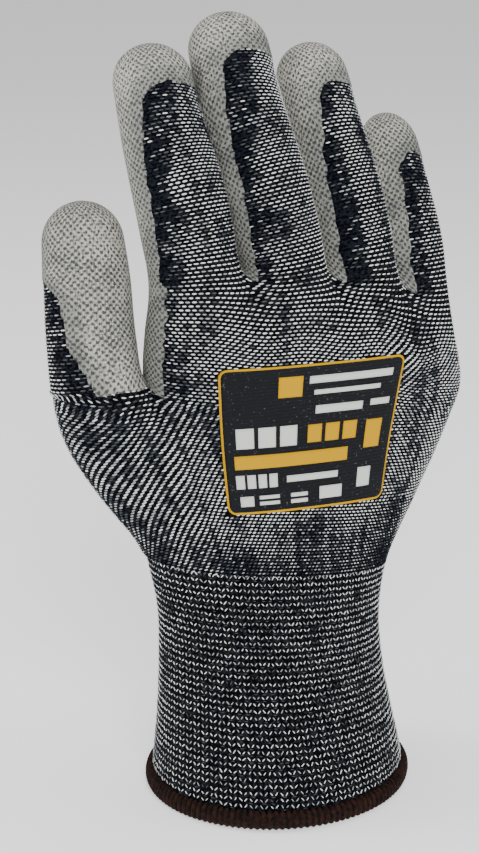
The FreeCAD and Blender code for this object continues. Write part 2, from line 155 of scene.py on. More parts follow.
def make_finger(base, leans, parts, widths, **_):
    ends = np.cumsum((0,) + parts)
    along = np.arange(-16, ends[3] + LIMB_STEP / 2, LIMB_STEP)
    pitch, lean = np.full(len(along), float(PITCHES[0])), np.full(len(along), float(leans[0]))
    for joint in (1, 2):
        turned = ramp(along, ends[joint] - BEND_REACH, ends[joint] + BEND_REACH)
        pitch += (PITCHES[joint] - PITCHES[joint - 1]) * turned
        lean += (leans[joint] - leans[joint - 1]) * turned
    p, l = np.radians(pitch), np.radians(lean)
    ahead = np.stack([np.sin(l) * np.cos(p), np.sin(p), np.cos(l) * np.cos(p)], axis=1)
    centre = np.cumsum(ahead, axis=0) * LIMB_STEP
    centre += np.array(base) - centre[np.searchsorted(along, 0)]
    half = read_smooth(ends, np.array(widths)[:, None] / 2, np.clip(along, 0, ends[3]))
    return Limb(along, centre, half * [1, DEPTH_SHARE])


def make_thumb():
    rows = np.array(THUMB, float)
    steps = np.linalg.norm(np.diff(rows[:, :3], axis=0), axis=1)
    keys = np.concatenate([[0], np.cumsum(steps)])
    keys -= keys[3]
    along = np.arange(keys[0], keys[-1] + LIMB_STEP / 2, LIMB_STEP)
    table = read_smooth(keys, rows, np.clip(along, keys[0], keys[-1]))
    return Limb(along, table[:, :3], table[:, 3:])


limbs = {name: make_finger(**facts) for name, facts in FINGERS.items()}
limbs["thumb"] = make_thumb()
print("limb lengths:", {name: round(float(limb.length), 1) for name, limb in limbs.items()})

# %% [markdown]
# The cuff and the palm are one tube whose section changes from round at the hem to a flat oval at
# the knuckles. The courses of the knit lie level at the hem and lean towards the thumb higher up,
# so a height is always the height of a course, and each point drops by the lean.

# %% Palm sections
SECTIONS = np.array([
    (0, 0, 0, 46.5, 42.5, 2), (8, 0, 0, 46, 42, 2), (25, -1, 0, 44, 37, 2),
    (45, -2, 1, 42, 31, 2.05), (66, -2.5, 2, 41.9, 26.6, 2.1), (84, -2.5, 3, 45.6, 24, 2.2),
    (105, 3, 5, 51.5, 22, 2.3), (130, 10, 7, 58, 20, 2.4), (150, 14, 7, 61, 19, 2.5),
    (172, 13.5, 6, 59, 18, 2.5), (188, 14, 6.5, 57.5, 16, 2.5)], float)
WRIST, CROTCH, LEAN, LEAN_FROM = 83.0, 139.0, 0.1405, 8.0


def section(height):
    return read_smooth(SECTIONS[:, 0], SECTIONS[:, 1:], height)[0]


def lift(height, x):
    """Height of a course's point: level at the hem, leaning above it."""
    share = np.clip((np.asarray(height) - LEAN_FROM) / (WRIST - LEAN_FROM), 0, 1)
    return height - LEAN * share * (x - 10)


def oval(height, turns):
    """Points of the section; turn -180 is the thumb edge and -90 the back."""
    xc, yc, a, b, n = section(height)
    c, s = np.cos(np.radians(turns)), np.sin(np.radians(turns))
    return np.stack([xc + a * np.sign(c) * np.abs(c) ** (2 / n),
                     yc + b * np.sign(s) * np.abs(s) ** (2 / n)], axis=1)


def spaced(points, marks):
    """Points of a line at these distances along it."""
    run = np.concatenate([[0], np.cumsum(np.linalg.norm(np.diff(points, axis=0), axis=1))])
    return np.stack([np.interp(np.asarray(marks) * run[-1], run, col) for col in points.T], axis=1)


def with_height(flat, heights):
    return np.column_stack([flat, lift(heights, flat[:, 0])])


print("wrist section:", np.round(section(WRIST), 1))

# %% [markdown]
# Below the thumb crotch the section also takes in the ball of the thumb. The two ovals are joined
# with a soft fillet: their distances are blended, and rays from inside each one find the joined
# edge. The wales between the two split lines belong to the thumb, the others to the palm.

# %% Thumb ball contour
BALL_FILLET = 7.0
RAY_REACH, RAY_STEP = 100, 0.5
PALM_RAYS, BALL_RAYS = 500, 300


def oval_distance(points, centre, a, b, n):
    d = points - centre
    size = (np.abs(d[..., 0] / a) ** n + np.abs(d[..., 1] / b) ** n) ** (1 / n) + 1e-9
    return np.linalg.norm(d, axis=-1) * (1 - 1 / size)


def thumb_section(height):
    rows, z = np.array(THUMB, float), height
    for _ in range(8):
        row = read_smooth(rows[:, 2], rows, np.clip(z, 86, 150))[0]
        z = float(lift(height, row[0]))
    return row[:2], row[3], row[4]


def joined_distance(points, height):
    xc, yc, a, b, n = section(height)
    palm = oval_distance(points, np.array([xc, yc]), a, b, n)
    centre, ta, tb = thumb_section(height)
    ball = oval_distance(points, centre, ta, tb, 2.0)
    near = np.clip(0.5 + 0.5 * (ball - palm) / BALL_FILLET, 0, 1)
    return ball * (1 - near) + palm * near - BALL_FILLET * near * (1 - near)


def first_exit(start, towards, height):
    """Where rays from a point inside first leave the joined section."""
    reach = np.arange(0, RAY_REACH, RAY_STEP)
    points = start + towards[:, None, :] * reach[None, :, None]
    d = joined_distance(points, height)
    outside = np.argmax(d > 0, axis=1)
    i = np.arange(len(towards))
    before, after = d[i, outside - 1], d[i, outside]
    hit = reach[outside - 1] + RAY_STEP * before / (before - after)
    return start + towards * hit[:, None]


def rays(first, last, count):
    turns = np.radians(np.linspace(first, last, count))
    return np.stack([np.cos(turns), np.sin(turns)], axis=1)


def bearing(point, centre):
    return math.degrees(math.atan2(*(point - centre)[::-1]))


PALM_EDGES, THUMB_EDGES, CROTCH_EDGES = 116, 32, 4
HIGH_EDGES = PALM_EDGES + CROTCH_EDGES


def low_ring(height):
    """Course below the thumb crotch: 116 palm wales, then 32 thumb wales."""
    split_x = np.interp(height, (WRIST, CROTCH), (-30, -45.5))
    inside = np.array([split_x, 8.0])
    back, front = first_exit(inside, np.array([[0, -1.0], [0, 1.0]]), height)
    xc, yc = section(height)[:2]
    palm_centre, ball_centre = np.array([xc, yc]), thumb_section(height)[0]
    from_back, to_front = bearing(back, palm_centre), bearing(front, palm_centre)
    palm = first_exit(palm_centre, rays(from_back, to_front, PALM_RAYS), height)
    from_front, to_back = bearing(front, ball_centre), bearing(back, ball_centre) % 360
    ball = first_exit(ball_centre, rays(from_front, to_back, BALL_RAYS), height)
    palm = spaced(palm, np.linspace(0, 1, PALM_EDGES + 1))[:-1]
    ball = spaced(ball, np.linspace(0, 1, THUMB_EDGES + 1))[:-1]
    return with_height(np.vstack([palm, ball]), height)


def high_ring(height):
    """Course above the thumb crotch: 120 wales around the palm."""
    loop = oval(height, np.linspace(-180, 180, 1441))
    marks = ((np.arange(HIGH_EDGES) + CROTCH_EDGES / 2) / HIGH_EDGES) % 1.0
    return spaced(loop, marks)


print("wales below the crotch:", len(low_ring(120.0)))

# %% [markdown]
# The knit is drawn as a lattice of wales and courses. Each loop of points is one course, and a
# band of four-sided cells joins it to the next. At the web the palm's course splits: each stall
# takes its share of the back and of the palm, and a short crotch of four wales closes each side.


# %% Lattice
class Lattice:
    def __init__(self):
        self.points, self.cells, self.maps, self.owner = [], [], [], []
        self.border, self.along, self.turn = [], [], []

    def add(self, points, border, along=0.0, turn=0.0):
        first, count = len(self.points), len(points)
        self.points.extend(np.asarray(points, float))
        for store, value in ((self.border, border), (self.along, along), (self.turn, turn)):
            store.extend(np.broadcast_to(value, count).astype(float))
        return list(range(first, first + count))

    def band(self, low, high, wale, course, owner):
        count = len(low)
        for j in range(count):
            k = (j + 1) % count
            self.cells.append((low[j], low[k], high[k], high[j]))
            u = wale + j
            self.maps.append(((u, course), (u + 1, course), (u + 1, course + 1), (u, course + 1)))
            self.owner.append(owner)

    def cap(self, loop, pole, wale, course, owner):
        for j in range(len(loop)):
            k = (j + 1) % len(loop)
            self.cells.append((loop[j], loop[k], pole))
            u = wale + j
            self.maps.append(((u, course), (u + 1, course), (u + 0.5, course + 1)))
            self.owner.append(owner)


OWNERS = ["hand", "index", "middle", "ring", "little", "thumb"]
LOW_COURSES, HIGH_COURSES, COURSE = 24, 17, 2.35
WEB_LEVEL = 181
WEB_HEIGHTS = np.array([(-60, 178), (-47, 178.5), (-29, 181), (-11, 179), (4, 182), (22, 180.5),
                        (34.5, 182), (51, 173.5), (60, 176.5), (72, 174), (90, 173)], float)


BACK_EDGE, WALE_PITCH, RADIAL_EDGE = 59, 2.15, 1.6


def palm_border(wale, height):
    """Distance in mm into the dipped film: above 0 on the palm side."""
    wale = np.asarray(wale, float)
    past_back = wale - BACK_EDGE
    if height >= CROTCH:
        inside = np.minimum(past_back, HIGH_EDGES + RADIAL_EDGE - wale)
        back = np.maximum(past_back, RADIAL_EDGE - wale)
        return WALE_PITCH * np.where(wale > BACK_EDGE + 1, inside, back)
    far = np.interp(height, (83, 100, 120, 139), (112, 117, 119, 121))
    return np.minimum(WALE_PITCH * np.minimum(past_back, far - wale), height - WRIST - 3)


TIP_DIP, DIP_ROUND = 19.0, 7.0


def finger_border(facts, limb, along, turn):
    half = limb.at(np.clip(along, 0, limb.length - DOME))[:, 9]
    share = np.asarray(along, float) / limb.length
    radial = np.interp(share, (0.0, 0.45, 0.85), facts["border"])
    ulnar = np.interp(share, (0.0, 0.85), (86, 80))
    turn = (np.asarray(turn, float) + 180) % 360 - 180
    side = np.where(turn > 0, turn - radial, -turn - ulnar)
    side = np.where(np.abs(turn) > 150, 60, side)
    side, top = np.radians(side) * half, along - limb.length + TIP_DIP
    corner = np.hypot(np.maximum(side + DIP_ROUND, 0), np.maximum(top + DIP_ROUND, 0))
    return corner - DIP_ROUND + np.minimum(np.maximum(side, top) + DIP_ROUND, 0)


def thumb_border(limb, along, turn):
    row = limb.at(np.clip(along, 0, limb.length - DOME))
    height = limb.at(along)[:, 2]
    half = np.interp(height, (139, 146, 149, 165, 182, 190), (175, 120, 95, 57, 43, -8))
    away = np.abs((np.asarray(turn, float) - 105 + 180) % 360 - 180)
    return np.radians(away - half) * row[:, 9]


knit = Lattice()
wales = np.arange(PALM_EDGES + THUMB_EDGES)
loop = None
for course in range(LOW_COURSES + 1):
    height = WRIST + (CROTCH - WRIST) * course / LOW_COURSES
    ring = knit.add(low_ring(height), palm_border(wales, min(height, CROTCH - 0.01)))
    if loop:
        knit.band(loop, ring, 0, course - 1, 0)
    loop = ring
crotch_row = loop
print("points below the thumb crotch:", len(knit.points))

# %% [markdown]
# The crotches are three points each between a stall and its neighbour. They start on a rough arch
# over the gap and are smoothed later, with everything around them.


# %% Crotches and stalls
def arch(start, end, saddle, border):
    """Three points from the back to the palm over a crotch."""
    a, b, top = np.array(knit.points[start]), np.array(knit.points[end]), np.array(saddle, float)
    rows = [(a + top) / 2, top, (b + top) / 2]
    return knit.add(rows, border)


thumb_arch = arch(crotch_row[0], crotch_row[PALM_EDGES], (-47.3, 9, 147.0), 2.5)
loop = crotch_row[:PALM_EDGES + 1] + thumb_arch[::-1]
for course in range(1, HIGH_COURSES + 1):
    share = course / HIGH_COURSES
    middle_height = CROTCH + (WEB_LEVEL - CROTCH) * share
    flat = high_ring(middle_height)
    web = read_smooth(WEB_HEIGHTS[:, 0], WEB_HEIGHTS[:, 1:], flat[:, 0])[:, 0]
    heights = CROTCH + (web - CROTCH) * share
    ring = knit.add(with_height(flat, heights), palm_border(np.arange(HIGH_EDGES), middle_height))
    knit.band(loop, ring, 0, LOW_COURSES + course - 1, 0)
    loop = ring
web_row = loop

finger_splits = np.cumsum([0] + [facts["wales"] for facts in FINGERS.values()])
saddles = {16: (-11.5, 4, 184.5), 31: (21, 4.5, 183), 45: (50.5, 8.5, 171.5)}
arches = {k: arch(web_row[k], web_row[PALM_EDGES - k], top, 3.0) for k, top in saddles.items()}
arches[0] = web_row[PALM_EDGES + 1:][::-1]
arches[56] = web_row[57:60]


def stall(name, loop, turns, first_along, owner, border_of):
    limb = limbs[name]
    straight = limb.length - DOME
    count = round((straight - first_along) / COURSE)
    stations = list(np.linspace(first_along, straight, count + 1))
    stations += [straight + DOME * math.sin(math.radians(a)) for a in (11, 22, 33, 44, 55, 66, 77)]
    for course, along in enumerate(stations):
        where = np.full(len(turns), along)
        ring = knit.add(limb.skin(where, turns), border_of(limb, where, turns), along, turns)
        knit.band(loop, ring, 0, course, owner)
        loop = ring
    pole = knit.add(limb.skin([limb.length - 0.1], [0.0]), 6.0, limb.length, 0.0)[0]
    knit.cap(loop, pole, 0, len(stations), owner)


finger_loops = {}
for number, (name, facts) in enumerate(FINGERS.items()):
    k0, k1 = finger_splits[number], finger_splits[number + 1]
    back = web_row[k0:k1 + 1]
    front = web_row[PALM_EDGES - k1:PALM_EDGES - k0 + 1]
    loop = back + arches[k1] + front + arches[k0][::-1]
    turns = (facts["wales"] / 2 - np.arange(len(loop))) * 360 / len(loop)
    finger_loops[name] = loop
    stall(name, loop, turns, 3.0, OWNERS.index(name), partial(finger_border, facts))
thumb_loop = crotch_row[PALM_EDGES:] + [crotch_row[0]] + thumb_arch
thumb_turns = 250 - np.arange(len(thumb_loop)) * 10.0
finger_loops["thumb"] = thumb_loop
stall("thumb", thumb_loop, thumb_turns, 2.2, OWNERS.index("thumb"), thumb_border)
print("lattice:", len(knit.points), "points,", len(knit.cells), "cells")

# %% [markdown]
# Knit pulls itself smooth where it branches. The points near each crotch are moved so that the
# surface bends as little as it can, like a thin plate held at its rim, which rounds the web
# between the fingers without touching the stalls further up.

# %% Smoothing the branches
RELAX_DEPTH, HOLD = 5, 0.02
points = np.array(knit.points)
pairs = set()
for cell in knit.cells:
    for a, b in zip(cell, cell[1:] + cell[:1]):
        pairs.add((min(a, b), max(a, b)))
neighbours = [[] for _ in points]
for a, b in pairs:
    neighbours[a].append(b)
    neighbours[b].append(a)


def around(seeds, depth):
    found = set(seeds)
    for _ in range(depth):
        found |= {n for p in found for n in neighbours[p]}
    return found


web_seeds = set(web_row) | {p for k in saddles for p in arches[k]}
thumb_seeds = set(thumb_arch) | {crotch_row[0], crotch_row[PALM_EDGES]}
free = sorted(around(web_seeds, RELAX_DEPTH) | around(thumb_seeds, RELAX_DEPTH + 1))
place = {p: i for i, p in enumerate(free)}
rows = sorted(around(free, 1))
bend = np.zeros((len(rows), len(free)))
fixed = np.zeros((len(rows), 3))
for i, p in enumerate(rows):
    weights = [(p, 1.0)] + [(n, -1.0 / len(neighbours[p])) for n in neighbours[p]]
    for q, w in weights:
        if q in place:
            bend[i, place[q]] += w
        else:
            fixed[i] += w * points[q]
plate = bend.T @ bend + HOLD**2 * np.eye(len(free))
points[free] = np.linalg.solve(plate, HOLD**2 * points[free] - bend.T @ fixed)
print("smoothed points:", len(free))

# %% [markdown]
# One step of Catmull-Clark subdivision turns the lattice into a fine skin, one cell to each
# stitch row. The wale and course numbers travel with it as a UV map, and the distance to the film's
# edge as an attribute, so that later steps can read both anywhere.


# %% Fine skin
def lattice_mesh(name, points, cells, maps, owner, values):
    mesh = bpy.data.meshes.new(name)
    mesh.from_pydata([tuple(p) for p in points * MM], [], cells)
    corners = np.array([corner for cell in maps for corner in cell], np.float32)
    mesh.uv_layers.new(name="knit").uv.foreach_set("vector", corners.ravel())
    mesh.attributes.new("owner", "INT", "FACE").data.foreach_set("value", owner)
    for key, data in values.items():
        layer = mesh.attributes.new(key, "FLOAT", "POINT")
        layer.data.foreach_set("value", np.asarray(data, np.float32))
    return mesh


def subdivided(mesh, levels):
    holder = add_object("holder", mesh)
    modifier = holder.modifiers.new("fine", "SUBSURF")
    modifier.levels = modifier.render_levels = levels
    modifier.uv_smooth = "NONE"
    fine = evaluated_mesh(holder)
    bpy.data.objects.remove(holder)
    return fine


def read_vectors(data, key, width):
    flat = (x for item in data for x in getattr(item, key))
    return np.fromiter(flat, np.float64).reshape(-1, width)


def read_values(mesh, key, kind=np.float64):
    return np.fromiter((item.value for item in mesh.attributes[key].data), kind)


class Skin:
    """Plain arrays of a fine mesh."""

    def __init__(self, mesh):
        self.points = read_vectors(mesh.vertices, "co", 3)
        self.normals = read_vectors(mesh.vertices, "normal", 3)
        self.faces = np.array([tuple(p.vertices) for p in mesh.polygons])
        self.maps = read_vectors(mesh.uv_layers["knit"].uv, "vector", 2).reshape(-1, 4, 2)
        self.owner = read_values(mesh, "owner", np.int64)
        self.border = read_values(mesh, "border")
        self.along = read_values(mesh, "along")
        self.turn = read_values(mesh, "turn")


coarse = lattice_mesh("coarse", points, knit.cells, knit.maps, knit.owner,
                      dict(border=knit.border, along=knit.along, turn=knit.turn))
skin = Skin(subdivided(coarse, 1))
print("fine skin:", len(skin.points), "points,", len(skin.faces), "faces")

# %% [markdown]
# The skin is shared out between the bodies. Each stall is cut between its joints, where nothing
# bends, so the cuts never open. Each piece then spans one joint only.

# %% Zones
zone_of_face = np.full(len(skin.faces), "hand", dtype=object)
along_of_face = skin.along[skin.faces].max(axis=1)
blends = {}


def frame_point(limb, along):
    row = limb.at([along])[0]
    return row[:3] * MM, row[11:14]


def add_blend(name, low_body, limb, first, last):
    start, ahead = frame_point(limb, first)
    end = start + ahead * (last - first) * MM
    blends[name] = (low_body, name, tuple(start), tuple(end))


def root_start(name, limb):
    """Distance along the stall that clears every point of the loop it grows from."""
    centre, ahead = frame_point(limb, 2.0)
    reach = (points[finger_loops[name]] * MM - centre) @ ahead / MM
    return 2.0 + max(float(reach.max()), -2.0) + 0.3


for number, name in enumerate(OWNERS[1:], start=1):
    limb = limbs[name]
    first = root_start(name, limb)
    if name == "thumb":
        cuts, spans = [16], [(first, first + 13), (16.5, 38)]
        bodies = ["thumb_root", "thumb_tip"]
    else:
        one, two = FINGERS[name]["parts"][0], sum(FINGERS[name]["parts"][:2])
        reach = 11 if name != "little" else BEND_REACH
        low = one - reach - 0.5
        cuts = [low, (one + reach + two - BEND_REACH) / 2]
        spans = [(first, low), (one - reach, one + reach), (two - BEND_REACH, two + BEND_REACH)]
        bodies = [f"{name}_{part}" for part in ("root", "middle", "tip")]
    mine = skin.owner == number
    for place_no, body in enumerate(bodies):
        above = -99 if place_no == 0 else cuts[place_no - 1]
        zone_of_face[mine & (along_of_face >= above)] = body
        add_blend(body, "hand" if place_no == 0 else bodies[place_no - 1], limb, *spans[place_no])
    print(name, "root bend starts at", round(first, 1), "mm, cuts at", [round(c, 1) for c in cuts])
ZONES = ["hand"] + list(blends)

# %% [markdown]
# Shader maths reads best as plain expressions, so a small class wraps a socket and adds the Math
# nodes that an expression needs. A second class builds one material, and its only other method
# makes any node from its type, its settings and its inputs.


# %% Material kit
class Wire:
    def __init__(self, finish, socket):
        self.finish, self.socket = finish, socket

    def calc(self, operation, *values):
        return self.finish.node("ShaderNodeMath", {"operation": operation}, dict(enumerate(values)))

    def __add__(self, other):
        return self.calc("ADD", self, other)

    def __sub__(self, other):
        return self.calc("SUBTRACT", self, other)

    def __rsub__(self, other):
        return self.calc("SUBTRACT", other, self)

    def __mul__(self, other):
        return self.calc("MULTIPLY", self, other)

    __radd__, __rmul__ = __add__, __mul__


def as_colour(value):
    return value if isinstance(value, Wire) else (*value, 1)


class Finish:
    def __init__(self, name, color, roughness=0.8, specular=0.5):
        self.material = bpy.data.materials.new(name)
        self.material.use_nodes = True
        self.tree = self.material.node_tree
        self.shader = self.tree.nodes["Principled BSDF"]
        self.shader.inputs["Base Color"].default_value = (*color, 1)
        self.shader.inputs["Roughness"].default_value = roughness
        self.shader.inputs["Specular IOR Level"].default_value = specular
        self.material.diffuse_color = (*color, 1)

    def node(self, kind, settings=None, inputs=None, output=0):
        made = self.tree.nodes.new(kind)
        for key, value in (settings or {}).items():
            setattr(made, key, value)
        for key, value in (inputs or {}).items():
            if isinstance(value, Wire):
                self.tree.links.new(value.socket, made.inputs[key])
            else:
                made.inputs[key].default_value = value
        return Wire(self, made.outputs[output])

    def feed(self, **inputs):
        for key, wire in inputs.items():
            self.tree.links.new(wire.socket, self.shader.inputs[key.replace("_", " ")])

    def mix(self, share, low, high):
        colours = {0: share, 6: as_colour(low), 7: as_colour(high)}
        return self.node("ShaderNodeMix", {"data_type": "RGBA"}, colours, 2)

    def spot(self, value, low, high):
        """1 where value is low, 0 where it is high."""
        limits = {"Value": value, "From Min": low, "From Max": high, "To Min": 1.0, "To Max": 0.0}
        return self.node("ShaderNodeMapRange", {"interpolation_type": "SMOOTHSTEP"}, limits)

    def place(self):
        return self.node("ShaderNodeTexCoord", output=3)

    def noise(self, where, scale, detail):
        facts = {"Vector": where, "Scale": scale, "Detail": detail}
        return self.node("ShaderNodeTexNoise", None, facts)

    def cloud(self, scale, detail=2.0):
        return self.noise(self.place(), scale, detail)

    def fibres(self, across, up):
        """Noise drawn out along the wales."""
        uv = self.node("ShaderNodeUVMap", {"uv_map": "knit"})
        factors = {0: uv, 1: (across, up, 1.0)}
        stretched = self.node("ShaderNodeVectorMath", {"operation": "MULTIPLY"}, factors)
        return self.noise(stretched, 1.0, 3.0)

    def knit_cell(self):
        """Offsets from the nearest stitch, in wales and courses, in brick layout."""
        uv = self.node("ShaderNodeUVMap", {"uv_map": "knit"})
        parts = self.node("ShaderNodeSeparateXYZ", None, {0: uv})
        wale, course = parts, Wire(self, parts.socket.node.outputs[1]) * 2.0
        odd = course.calc("MODULO", course.calc("FLOOR", course), 2.0)
        side = wale.calc("FRACT", wale + odd * 0.5) - 0.5
        up = course.calc("FRACT", course) - 0.5
        return side, up

    def bump(self, height, strength, distance):
        facts = {"Height": height, "Strength": strength, "Distance": distance}
        return self.node("ShaderNodeBump", None, facts)


print("material kit ready")

# %% [markdown]
# The ground yarn is nearly black with a breath of navy. Plated white yarn lies over it as short
# dashes, bright where the loop is full, dim or navy where it sinks in, and darker near the film's
# edge, more on the thumb side of each finger. The dashes keep one colour each, so they stay crisp
# however the model is used.

# %% Yarn finishes
ground = Finish("knit_ground", (0.01, 0.011, 0.014), 0.95, 0.05)
side, up = ground.knit_cell()
dent = ground.spot(side * side * 3.0 + up * up * 2.2, 0.05, 0.7)
dust = ground.cloud(900.0, 3.0)
broad = ground.cloud(60.0)
tone = ground.mix(broad, (0.0010, 0.0011, 0.0014), (0.0022, 0.0028, 0.0045))
tone = ground.mix(ground.spot(dust, 0.64, 0.44), tone, (0.016, 0.017, 0.020))
ground.feed(Base_Color=tone, Normal=ground.bump(dent + dust * 0.4, 0.7, 0.0004))
YARN = [Finish("yarn_white", (0.86, 0.87, 0.88), 0.55, 0.3),
        Finish("yarn_pale", (0.40, 0.42, 0.44), 0.6, 0.25),
        Finish("yarn_dim", (0.070, 0.078, 0.092), 0.7, 0.15),
        Finish("yarn_navy", (0.006, 0.010, 0.024), 0.8, 0.08)]
print("yarn finishes:", [f.material.name for f in YARN])

# %% [markdown]
# The grip film is a thin foam dip in a warm light grey. It has sunk between the loops, so the
# knit shows through as rows of small dark pits, with a painted highlight drawn as pale lines on the
# ridges between the wales, and handling has dirtied it a little. Its pits follow the wales and
# courses through the UV map, and the depth attribute makes it darker near its edge, where the film
# is thinner.

# %% Grip film finish
film = Finish("grip_film", (0.36, 0.35, 0.31), 0.58, 0.35)
side, up = film.knit_cell()
streak = film.fibres(3.6, 1.5)
pit = film.spot(side * side * 6.0 + up * up * 2.2 + (streak - 0.5) * 1.6, 0.02, 0.46)
broad, grime = film.cloud(38.0, 3.0), film.cloud(95.0, 4.0)
grain = film.cloud(1700.0, 2.0)
tone = film.mix(film.spot(broad, 0.62, 0.40), (0.50, 0.49, 0.43), (0.28, 0.28, 0.245))
tone = film.mix(1 - film.spot(grime, 0.50, 0.68), tone, (0.16, 0.165, 0.15))
# Painted highlight: the raised ridges between the wales are drawn lighter.
tone = film.mix(1 - film.spot(side * side * 4.0, 0.25, 0.95), tone, (0.52, 0.51, 0.46))
tone = film.mix(film.spot(streak, 0.36, 0.54) * 0.78, tone, (0.085, 0.087, 0.080))
tone = film.mix(1 - film.spot(grain, 0.52, 0.72), tone, (0.60, 0.59, 0.54))
dip_depth = film.node("ShaderNodeAttribute", {"attribute_name": "depth"}, output=2)
thin = film.spot(dip_depth, 1.0, 10.0)
tone = film.mix(thin * 0.62, tone, (0.115, 0.128, 0.118))
tone = film.mix(pit * 0.86, tone, (0.040, 0.042, 0.042))
film.feed(Base_Color=tone, Normal=film.bump(1 - pit + streak * 0.6 + grain * 0.2, 0.9, 0.0006))
print("film finish:", film.material.name)

# %% [markdown]
# A piece of skin is made from its faces twice: the outer wall and, one knit thickness inside it,
# the inner wall turned round, so the glove is hollow when seen through the cuff. Normals come
# from the whole skin, so light runs smoothly over the cuts between pieces.


# %% Skin pieces
WALL = 1.05


def plain_mesh(name, points, faces, material, normals=None, maps=None, depths=None):
    used, flat = np.unique(np.concatenate([f.ravel() for f in faces]), return_inverse=True)
    mesh = bpy.data.meshes.new(name)
    start, rows = 0, []
    for f in faces:
        rows += flat[start:start + f.size].reshape(f.shape).tolist()
        start += f.size
    mesh.from_pydata(points[used].tolist(), [], rows)
    mesh.polygons.foreach_set("use_smooth", np.ones(len(rows), bool))
    if maps is not None:
        corners = np.asarray(maps, np.float32).ravel()
        mesh.uv_layers.new(name="knit").uv.foreach_set("vector", corners)
    if depths is not None:
        layer = mesh.attributes.new("depth", "FLOAT", "POINT")
        layer.data.foreach_set("value", depths[used].astype(np.float32))
    mesh.materials.append(material)
    if normals is not None:
        mesh.normals_split_custom_set_from_vertices(unit(normals[used]).tolist())
    return add_object(name, mesh)


def attach(piece, zone):
    if zone in blends:
        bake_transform(piece)
    else:
        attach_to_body(piece, zone)


inner = skin.points - skin.normals * WALL * MM
both_points = np.vstack([skin.points, inner])
both_normals = np.vstack([skin.normals, -skin.normals])
for zone in ZONES:
    mine = zone_of_face == zone
    outside, inside = skin.faces[mine], skin.faces[mine][:, ::-1] + len(skin.points)
    maps = np.concatenate([skin.maps[mine], skin.maps[mine][:, ::-1]])
    faces = [outside, inside]
    if zone == "hand":
        course = skin.maps[mine][:, :, 1]
        rim = [(f[b], f[a], f[a] + len(skin.points), f[b] + len(skin.points))
               for f, c in zip(outside, course) for a, b in ((0, 1), (1, 2), (2, 3), (3, 0))
               if c[a] == 0 and c[b] == 0]
        faces.append(np.array(rim))
        maps = np.concatenate([maps, np.zeros((len(rim), 4, 2))])
    piece = plain_mesh(f"knit_{zone}", both_points, faces, ground.material, both_normals, maps)
    attach(piece, zone)

# %% [markdown]
# The film is its own thin skin over the knit. It stands half a millimetre proud where the dip is
# full and dives under the knit at its edge, so the edge is a clean line of real geometry. A little
# noise makes that line wander as a dipped edge does.

# %% Grip film
FILM_LIFT, FILM_DIVE = 0.5, 0.35
wander = np.array([noise.noise(Vector(p * 260)) * 1.3 + noise.noise(Vector(p * 900)) * 0.3
                   for p in skin.points])
depth = skin.border + wander
level = -FILM_DIVE + (FILM_LIFT + FILM_DIVE) * ramp(depth, -0.7, 1.3)
film_points = skin.points + skin.normals * (level * MM)[:, None]
for zone in ZONES:
    mine = (zone_of_face == zone) & (depth[skin.faces].max(axis=1) > -1.2)
    piece = plain_mesh(f"film_{zone}", film_points, [skin.faces[mine]], film.material, skin.normals,
                       skin.maps[mine], depth)
    attach(piece, zone)

# %% [markdown]
# Stitches are the same small dash thousands of times, which is work for Geometry Nodes. Each dash
# is a point with its direction, its outward normal, its size and its shade as attributes. The tree
# puts a low rounded bar on every point, makes it real and gives each shade its yarn.


# %% Dash tree
class Tree:
    """A Geometry Nodes tree with named inputs and one geometry output."""

    def __init__(self, name, result, values):
        self.tree = bpy.data.node_groups.new(name, "GeometryNodeTree")
        self.socket("Points", "INPUT", "Geometry")
        for label, kind, value in values:
            self.socket(label, "INPUT", kind).default_value = value
        self.socket(result, "OUTPUT", "Geometry")
        self.start = self.tree.nodes.new("NodeGroupInput").outputs

    def socket(self, label, side, kind):
        face = self.tree.interface
        return face.new_socket(label, in_out=side, socket_type="NodeSocket" + kind)

    def node(self, kind, settings=None, output=0, **inputs):
        """First output of a new node; in0 is its first input, other inputs go by name."""
        made = self.tree.nodes.new(kind)
        for key, value in (settings or {}).items():
            setattr(made, key, value)
        for key, value in inputs.items():
            key = int(key[2:]) if key.startswith("in") else key.replace("_", " ")
            if isinstance(value, bpy.types.NodeSocket):
                self.tree.links.new(value, made.inputs[key])
            else:
                made.inputs[key].default_value = value
        return made.outputs[output]

    def named(self, label, kind="FLOAT_VECTOR"):
        return self.node("GeometryNodeInputNamedAttribute", {"data_type": kind}, Name=label)

    def maths(self, operation, *values):
        inputs = {f"in{number}": value for number, value in enumerate(values)}
        return self.node("ShaderNodeMath", {"operation": operation}, **inputs)

    def facing_way(self):
        """Turn that stands a shape up along facing and lays it along heading."""
        return self.node("FunctionNodeAxesToRotation", {"primary_axis": "Z", "secondary_axis": "X"},
                         in0=self.named("facing"), in1=self.named("heading"))

    def realized(self, spread):
        real = self.node("GeometryNodeRealizeInstances", Geometry=spread)
        return self.node("GeometryNodeSetShadeSmooth", Geometry=real)

    def end(self, last):
        self.tree.links.new(last, self.tree.nodes.new("NodeGroupOutput").inputs[0])
        return self.tree


